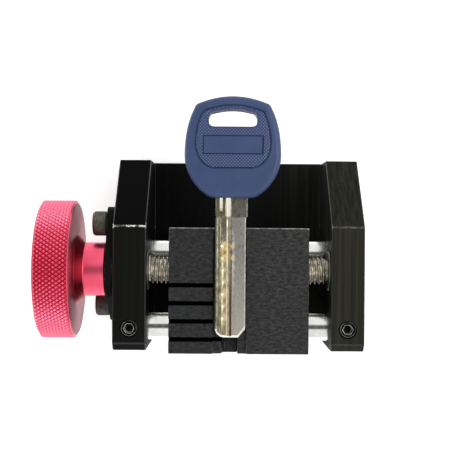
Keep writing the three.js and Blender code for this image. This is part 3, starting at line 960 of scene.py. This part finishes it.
def cap_screw(node, name):
    """A socket head screw along X with a fluted grip round its head."""
    low, high = box_mm(node)
    centre = axis_of(node)
    head = radius_of(node)
    head_end = low.x + CAP_HEAD["length"]
    shank, flute_depth = CAP_HEAD["shank"], CAP_HEAD["flute_depth"]

    def fluted(angle):
        return head - flute_depth * (0.5 - 0.5 * math.cos(CAP_HEAD["flutes"] * angle))

    rings = [(low.x, 0)] + [(low.x + down, head - inwards) for down, inwards in CAP_CROWN]
    rings += [(low.x + 0.7, fluted), (head_end - 0.4, fluted), (head_end - 0.2, head - flute_depth)]
    rings += [(head_end, head - 0.35), (head_end, shank)] + end_of(high.x, shank, 0.4)
    screw = paint(lathe(name, rings, centre, CAP_HEAD["flutes"] * 5), CAP_OXIDE, OXIDE_EDGE)
    socket = hexagon("socket", "X", centre, CAP_HEAD["hex"], low.x - PAST, low.x + CAP_HEAD["hex_depth"])
    combine(screw, [socket])
    round_edges(screw, 0.08, 2, 60, material=1)
    return shade_facets(screw, 30)


def set_screw(node, name, socket_up, hexagon_size):
    """A headless threaded screw along Z, chamfered at both ends, with a hex socket in one end."""
    low, high = box_mm(node)
    x, y, radius = upright(node)
    chamfer = 0.3
    start, end = low.z + chamfer, high.z - chamfer
    count = round((end - start) / METRIC_THREAD["pitch"] * 8)
    rings = [(low.z, 0), (low.z, radius - chamfer)]
    for i in range(count + 1):
        z = start + (end - start) * i / count
        rings.append((z, lambda angle, z=z: thread_radius(z, angle, radius, METRIC_THREAD)))
    rings += [(high.z, radius - chamfer), (high.z, 0)]
    screw = paint(lathe(name, rings, (x, y), 48, "Z"), GRUB_OXIDE, OXIDE_EDGE)
    for polygon in screw.data.polygons:
        if polygon.center.z > mm(end) or polygon.center.z < mm(start):
            polygon.material_index = 1 if abs(polygon.normal.z) < 0.9 else 0
    depth = hexagon_size["depth"]
    reach = (high.z - depth, high.z + PAST) if socket_up else (low.z - PAST, low.z + depth)
    combine(screw, [hexagon("socket", "Z", (x, y), hexagon_size["across"], *reach)])
    round_edges(screw, 0.09, 2, 65, material=1)
    return shade_facets(screw, 35)


# ---- the key ----


def blade_height(x):
    """Height of the blade's fluted upper face across its width."""
    cut = 0.0
    for middle, half, depth in FLUTES:
        inside = max(0, 1 - ((x - middle) / half) ** 2)
        cut = max(cut, depth * inside)
    return BLADE["top"] - cut


def blade_section(steps=150):
    left, right = BLADE["left"], BLADE["right"]
    across = [left + (right - left) * i / steps for i in range(steps + 1)]
    middle = (BLADE["top"] + BLADE["bottom"]) / 2
    upper = [(x, blade_height(x)) for x in across]
    lower = [(x, 2 * middle - z) for x, z in reversed(upper)]
    return upper + lower


def blade_plan(chamfer):
    """The blade from above. The round and the bevelled corner of its tip are moved in by the chamfer."""
    left, right, tip, top = BLADE["left"], BLADE["right"], BLADE["tip"], BLADE["shoulder"] + 1
    turn = BLADE_TIP["round"]
    centre = (left + turn, tip + turn)
    corner = [(left, centre[1] + turn)] + arc(centre, turn - chamfer, 180, 270)
    return [(left, top)] + corner + [
        (left + turn, tip + chamfer),
        (right - BLADE_TIP["bevel_x"] - chamfer / 3, tip + chamfer),
        (right - chamfer, tip + BLADE_TIP["bevel_y"] + chamfer / 3),
        (right, centre[1] + turn),
        (right, top),
    ]


def tip_shaper():
    """What the blade keeps: its plan, with a chamfer round the tip above and below."""
    chamfer, past = BLADE_TIP["chamfer"], 1.0
    levels = [
        (BLADE["bottom"] - past, chamfer + past),
        (BLADE["bottom"] + chamfer, 0),
        (BLADE["top"] - chamfer, 0),
        (BLADE["top"] + past, chamfer + past),
    ]
    plans = [[(x, y, z) for x, y in blade_plan(moved)] for z, moved in levels]
    count = len(plans[0])
    faces = [list(range(count)), list(range(3 * count, 4 * count))]
    for level in range(3):
        for i in range(count):
            j = (i + 1) % count
            low, high = level * count, (level + 1) * count
            faces.append([low + i, low + j, high + j, high + i])
    return piece_from("tip_shaper", [corner for plan in plans for corner in plan], faces)


def cone_cutter(x, y, size):
    """A drilled dimple, wider and deeper as its cut number grows."""
    radius = DIMPLE["radius"] + DIMPLE["radius_step"] * size
    depth = DIMPLE["depth"] + DIMPLE["depth_step"] * size
    top = BLADE["top"]
    rings = [(top - depth, 0), (top - depth * 0.85, radius * 0.3), (top, radius)]
    rings += [(top + 1, radius), (top + 1, 0)]
    return in_slot(lathe("dimple", rings, (x, y), 32, "Z"), 1, *KEY_METALS)


def track_cutter():
    """A shallow milled track that links the left row of dimples."""
    row = DIMPLE_ROW
    last = row["first_y"] - (len(LEFT_CUTS) - 1) * row["pitch"]
    ends = [((row["left_x"], row["first_y"]), 0, 180), ((row["left_x"], last), 180, 360)]
    half = TRACK["half_width"]
    outline = [point for place, start, end in ends for point in arc(place, half, start, end, 10)]
    cutter = prism("track", outline, "Z", BLADE["top"] - TRACK["depth"], BLADE["top"] + 1)
    return in_slot(cutter, 1, *KEY_METALS)


def dimples():
    row = DIMPLE_ROW
    cutters = [track_cutter()]
    for x, cuts in ((row["left_x"], LEFT_CUTS), (row["right_x"], RIGHT_CUTS)):
        for i, size in enumerate(cuts):
            cutters.append(cone_cutter(x, row["first_y"] - i * row["pitch"], size))
    return cutters


def run_out(middle, half_width):
    """A flute's end in the collar: a round cutter that rises out of the metal towards the head."""
    start, end = BLADE["shoulder"] - 0.5, HEAD["bottom"]
    rise = COLLAR["run_out_rise"]
    top = BLADE["top"] + COLLAR["extra_height"]
    radius = half_width * 1.4
    lift = math.sqrt(radius ** 2 - half_width ** 2)
    cutter = rod("run_out", "Y", (middle, top + lift), radius, start, end + 1, 32)
    for vertex in cutter.data.vertices:
        vertex.co.z += (vertex.co.y - mm(end)) * rise
    return in_slot(cutter, 2, *KEY_METALS)


def key_collar():
    """The thicker neck between the blade and the head, with the tang behind it."""
    extra = COLLAR["extra_height"]
    low = (BLADE["left"], BLADE["shoulder"], BLADE["bottom"] - extra)
    high = (BLADE["right"] + COLLAR["extra_right"], HEAD["bottom"] + 0.4, BLADE["top"] + extra)
    collar = paint(block("collar", low, high), *KEY_METALS)
    round_edges(collar, 0.32, 1)
    combine(collar, [run_out(*place) for place in RUN_OUTS])
    half = TANG["half_width"]
    tang_low = (HEAD["centre"] - half, HEAD["bottom"], BLADE["bottom"])
    tang_high = (HEAD["centre"] + half, HEAD["bottom"] + TANG["length"], BLADE["top"])
    return combine(collar, [block("tang", tang_low, tang_high)], "UNION")


def key_shank():
    blade = prism("key_shank", blade_section(), "Y", BLADE["tip"] - 1, BLADE["shoulder"] + 0.02)
    paint(blade, *KEY_METALS)
    combine(blade, [tip_shaper()], "INTERSECT")
    for polygon in blade.data.polygons:
        if polygon.normal.y < -0.05 and abs(polygon.normal.z) > 0.3:
            polygon.material_index = 2
    round_edges(blade, 0.16, 1, 70)
    combine(blade, dimples())
    join_meshes(blade, [key_collar()])
    return shade_facets(blade, 30)


def mirrored(half, top):
    """A closed outline from its right half, its top and the mirror image of the right half."""
    centre = HEAD["centre"]
    left = [(2 * centre - x, y) for x, y in reversed(half)]
    return half + top + left


def from_centre(x, y):
    return HEAD["centre"] + x, y


def head_outline():
    centre, radius, middle = HEAD["centre"], HEAD["radius"], HEAD["middle"]
    neck = math.degrees(math.asin((middle - HEAD["bottom"]) / radius))
    side, pull, top = (from_centre(*HEAD_CORNER[key]) for key in ("side", "pull", "top"))
    round_arc = arc((centre, middle), radius, HEAD_NECK["turn"] - neck, 0, 30)
    flat, bend = (from_centre(HEAD_NECK[key], HEAD["bottom"]) for key in ("flat", "pull"))
    half = curve(flat, bend, round_arc[0], 8)
    half += round_arc + curve(from_centre(radius, middle), from_centre(radius, SIDE_PULL), side)
    half += curve(side, pull, top, 8)
    crown = from_centre(0, 2 * HEAD["top"] - top[1])
    return mirrored(half, curve(top, crown, (2 * centre - top[0], top[1]), 24))


def panel_outline():
    neck = from_centre(PANEL["neck"], PANEL["bottom"])
    waist = from_centre(PANEL["half_width"], PANEL["waist"])
    upper, lower = (from_centre(*PANEL_CORNER[key]) for key in ("upper", "lower"))
    half = curve(neck, lower, waist)
    half += curve(waist, from_centre(PANEL["half_width"], SIDE_PULL), upper)
    crown = from_centre(0, 2 * PANEL["top"] - upper[1])
    return mirrored(half, curve(upper, crown, (2 * HEAD["centre"] - upper[0], upper[1]), 24))


def ring_hole_outline():
    wide, flat = RING_HOLE["half_width"], RING_HOLE["flat"]
    low, middle = RING_HOLE["bottom"], RING_HOLE["middle"]
    shoulder, rim, crown = (RING_HOLE_TOP[key] for key in ("shoulder", "rim", "crown"))
    half = curve(from_centre(flat, low), from_centre(wide, low), from_centre(wide, middle), 8)
    half += curve(from_centre(wide, middle), from_centre(wide, shoulder), from_centre(flat, rim), 8)
    top = curve(from_centre(flat, rim), from_centre(0, 2 * crown - rim), from_centre(-flat, rim), 16)
    return mirrored(half, top)


def plate_block(name, grow, bottom, top):
    low = (*from_centre(-PLATE["half_width"] - grow, PLATE["bottom"] - grow), bottom)
    high = (*from_centre(PLATE["half_width"] + grow, PLATE["top"] + grow), top)
    return block(name, low, high)


def hatch_field(floor):
    """Small pyramids in rows at 45 degrees over the whole panel, as one closed slab."""
    pitch, height, reach = HATCH["pitch"], HATCH["height"], HATCH["reach"]
    count = int(2 * reach / pitch)
    centre, middle = HEAD["centre"], (PANEL["bottom"] + PANEL["top"]) / 2
    vertices, faces = [], []

    def spot(i, j, z):
        u, v = i * pitch - reach, j * pitch - reach
        vertices.append((centre + (u + v) / math.sqrt(2), middle + (v - u) / math.sqrt(2), z))
        return len(vertices) - 1

    grid = {(i, j): spot(i, j, floor) for i in range(count + 1) for j in range(count + 1)}
    for i in range(count):
        for j in range(count):
            corners = [grid[i, j], grid[i + 1, j], grid[i + 1, j + 1], grid[i, j + 1]]
            tip = spot(i + 0.5, j + 0.5, floor + height)
            faces += [[corners[k], corners[(k + 1) % 4], tip] for k in range(4)]
    below = floor - PANEL_LINE["depth"] / 2
    rim = [grid[i, 0] for i in range(count)] + [grid[count, j] for j in range(count)]
    rim += [grid[i, count] for i in range(count, 0, -1)] + [grid[0, j] for j in range(count, 0, -1)]
    base = []
    for index in rim:
        x, y, _ = vertices[index]
        vertices.append((x, y, below))
        base.append(len(vertices) - 1)
    faces += [[rim[k - 1], rim[k], base[k], base[k - 1]] for k in range(len(rim))]
    faces.append(base)
    return piece_from("hatch", vertices, faces)


def hatched_panel(floor):
    """The hatch cut to the panel's shape, clear of the ring hole and the plain plate."""
    inner = inset(panel_outline(), PANEL_LINE["width"] + HATCH["margin"])
    hatch = hatch_field(floor)
    combine(hatch, [prism("area", inner, "Z", floor - PAST, floor + PAST)], "INTERSECT")
    hole = inset(ring_hole_outline(), -0.5)
    cutters = [prism("hole", hole, "Z", floor - PAST, floor + PAST)]
    cutters.append(plate_block("plate", PLATE["line"], floor - PAST, floor + PAST))
    return in_slot(combine(hatch, cutters), 1)


def flipped(piece, level):
    """A copy of a piece, mirrored in a horizontal plane."""
    copy = bpy.data.objects.new(piece.name + "_below", piece.data.copy())
    bpy.context.scene.collection.objects.link(copy)
    for vertex in copy.data.vertices:
        vertex.co.z = 2 * mm(level) - vertex.co.z
    copy.data.flip_normals()
    return copy


def panel_cutter(top):
    """What is taken out of the head for a sunk panel, with a deeper line round it and round its plate."""
    outline = panel_outline()
    floor = top - PANEL["depth"]
    groove = floor - PANEL_LINE["depth"]
    cutter = prism("panel", outline, "Z", groove, top + 1)
    kept = prism("kept", inset(outline, PANEL_LINE["width"]), "Z", groove - 1, floor)
    combine(kept, [plate_block("line", PLATE["line"], floor - PLATE["line"], floor + 1)])
    combine(kept, [plate_block("plain", 0, groove, floor + HATCH["height"] / 2)], "UNION")
    return combine(cutter, [kept])


def key_head():
    middle = (BLADE["bottom"] + BLADE["top"]) / 2
    half = HEAD["thickness"] / 2
    top = middle + half
    head = paint(prism("key_bow", head_outline(), "Z", middle - half, top), KEY_PLASTIC, hatched_plastic())
    round_edges(head, 1.5, 7, 60)
    upper = panel_cutter(top)
    combine(head, [flipped(upper, middle), upper])
    combine(head, [prism("ring_hole", ring_hole_outline(), "Z", middle - 2 * half, middle + 2 * half)])
    round_edges(head, 0.12, 2, 50)
    shade_even(head)
    hatch = hatched_panel(top - PANEL["depth"])
    join_meshes(head, [flipped(hatch, middle), hatch])
    return head


# ---- the stage ----


def make_camera():
    """Looks straight down on the jaws, from a little left of the middle."""
    high = box_mm("frame_body")[1]
    data = bpy.data.cameras.new("camera")
    data.sensor_width = 36
    data.lens = CAMERA["lens"]
    data.clip_start = 0.01
    camera = bpy.data.objects.new("camera", data)
    camera.location = mm(CAMERA["x"], CAMERA["y"], high.z + CAMERA["above"])
    camera.rotation_euler = (0, 0, math.radians(CAMERA["roll"]))
    bpy.context.scene.collection.objects.link(camera)
    bpy.context.scene.camera = camera


def make_key_light():
    """A square soft light that looks at the jaws."""
    data = bpy.data.lights.new("key_light", "AREA")
    data.shape = "SQUARE"
    data.size = mm(KEY_LIGHT["side"])
    data.energy = KEY_LIGHT["radiance"] * math.pi * data.size ** 2
    light = bpy.data.objects.new("key_light", data)
    light.location = mm(*KEY_LIGHT["place"])
    aim = mm(0, 0, 20) - light.location
    light.rotation_euler = aim.to_track_quat("-Z", "Y").to_euler()
    bpy.context.scene.collection.objects.link(light)


def make_world():
    """A light tent: bright all round, with a dark opening overhead."""
    world = bpy.data.worlds.new("light_tent")
    world.use_nodes = True
    tree = world.node_tree
    background = tree.nodes["Background"]
    background.inputs["Color"].default_value = (1, 1, 1, 1)
    coordinates = tree.nodes.new("ShaderNodeTexCoord")
    split = tree.nodes.new("ShaderNodeSeparateXYZ")
    ramp = tree.nodes.new("ShaderNodeMapRange")
    ramp.interpolation_type = "SMOOTHSTEP"
    ramp.inputs["From Min"].default_value = math.cos(math.radians(TENT["rim"]))
    ramp.inputs["From Max"].default_value = math.cos(math.radians(TENT["opening"]))
    ramp.inputs["To Min"].default_value = TENT["bright"]
    ramp.inputs["To Max"].default_value = TENT["dark"]
    tree.links.new(coordinates.outputs["Generated"], split.inputs["Vector"])
    tree.links.new(split.outputs["Z"], ramp.inputs["Value"])
    tree.links.new(ramp.outputs["Result"], background.inputs["Strength"])
    bpy.context.scene.world = world


def make_stage():
    reach, drop = FLOOR["reach"], FLOOR["drop"]
    corners = [(x * reach, y * reach, -drop) for x, y in ((-1, -1), (1, -1), (1, 1), (-1, 1))]
    floor = paint(piece_from("floor", corners, [[0, 1, 2, 3]]), pale_floor())
    make_world()
    bpy.context.scene.view_settings.view_transform = "Standard"
    make_key_light()


make_camera()
make_stage()

stands_for(milled_body(), "frame_body", "frame")
for place in ("front", "rear"):
    node = f"{place}_guide_rod"
    stands_for(guide_rod(node, f"{place}_rod"), node, "frame")
stands_for(bearing_flange(), "retainer_flange", "frame")
for place in ("upper", "lower"):
    node = f"flange_screw_{place}"
    stands_for(cap_screw(node, f"cap_screw_{place}"), node, "frame")
for side in ("left", "right"):
    for place in ("front", "rear"):
        node = f"{place}_rod_set_screw_{side}"
        screw = set_screw(node, f"{place}_grub_screw_{side}", place == "front", SET_HEX)
        stands_for(screw, node, "frame")
for node, name, bore, edge in [
    ("left_bush", "left_bearing_bush", SCREW["radius"] + BORE_ROOM, 0.35),
    ("right_bush", "right_bearing_bush", SCREW["journal"] + BORE_ROOM, 0.35),
    ("thrust_washer_inner", "inner_thrust_ring", SCREW["radius"] + BORE_ROOM, 0.12),
    ("thrust_washer_outer", "outer_thrust_ring", SCREW["radius"] + BORE_ROOM, 0.12),
]:
    stands_for(paint(turned_ring(name, node, bore, edge), BRONZE), node, "frame")

stands_for(threaded_spindle(), "lead_screw", "spindle")
stands_for(knurled_knob(), "knob", "spindle")
knob_screw = set_screw("knob_set_screw", "knob_grub_screw", False, KNOB_SCREW_HEX)
stands_for(knob_screw, "knob_set_screw", "spindle")
stands_for(left_jaw(), "left_jaw", "jaw_left")
stands_for(right_jaw(), "right_jaw", "jaw_right")
stands_for(key_shank(), "key_blade", "key")
stands_for(key_head(), "key_head", "key")
